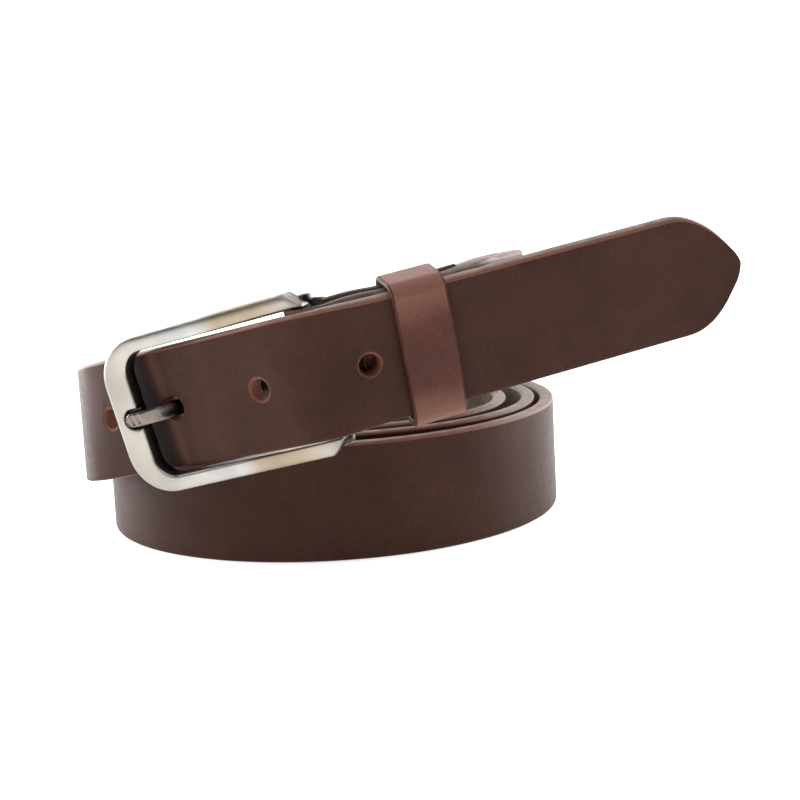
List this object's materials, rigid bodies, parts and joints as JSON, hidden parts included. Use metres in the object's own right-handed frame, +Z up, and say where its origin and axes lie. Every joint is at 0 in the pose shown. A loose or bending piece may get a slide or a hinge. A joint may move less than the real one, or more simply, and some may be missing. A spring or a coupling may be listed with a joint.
{
  "type": "coiled leather belt",
  "caption": "Flat leather dress belt, fastened by a single-pin frame buckle and a sliding keeper, coiled and standing on its lower edge.",
  "frame": {"origin": "under the middle of the whole belt, on the surface it stands on", "axes": "+X to the right seen from the front, +Y to the back, +Z up"},
  "size_m": [0.1727, 0.1638, 0.0823],
  "materials": {
    "strap_leather": "fine grain, semi-matt dark brown",
    "keeper_leather": "smooth reddish brown",
    "nickel": "satin brushed nickel",
    "gunmetal": "dark worn metal",
    "steel_wire": "drawn wire",
    "thread": "waxed thread"
  },
  "bodies": {
    "strap": {"strap": "strap_leather", "front_seam": "thread", "rear_seam": "thread"},
    "buckle": {"buckle_frame": "nickel", "heel_bar": "steel_wire"},
    "prong": {"prong": "gunmetal"},
    "keeper": {"keeper_loop": "keeper_leather", "keeper_staple": "steel_wire"}
  },
  "joints": [
    {"name": "buckle_swing", "type": "hinge", "parent": "strap", "child": "buckle", "pos_m": [-0.0145, -0.0695, 0.0515], "axis": [-0.2397, 0.0036, 0.9708], "range_deg": [0, 1]},
    {"name": "prong_pivot", "type": "hinge", "parent": "buckle", "child": "prong", "pos_m": [-0.0145, -0.0695, 0.0515], "axis": [-0.2397, 0.0036, 0.9708], "range_deg": [0, 0.5]},
    {"name": "keeper_slide", "type": "slide", "parent": "strap", "child": "keeper", "axis": [0.9541, 0.2379, 0.1822], "range_m": [-0.003, 0.002]}
  ]
}
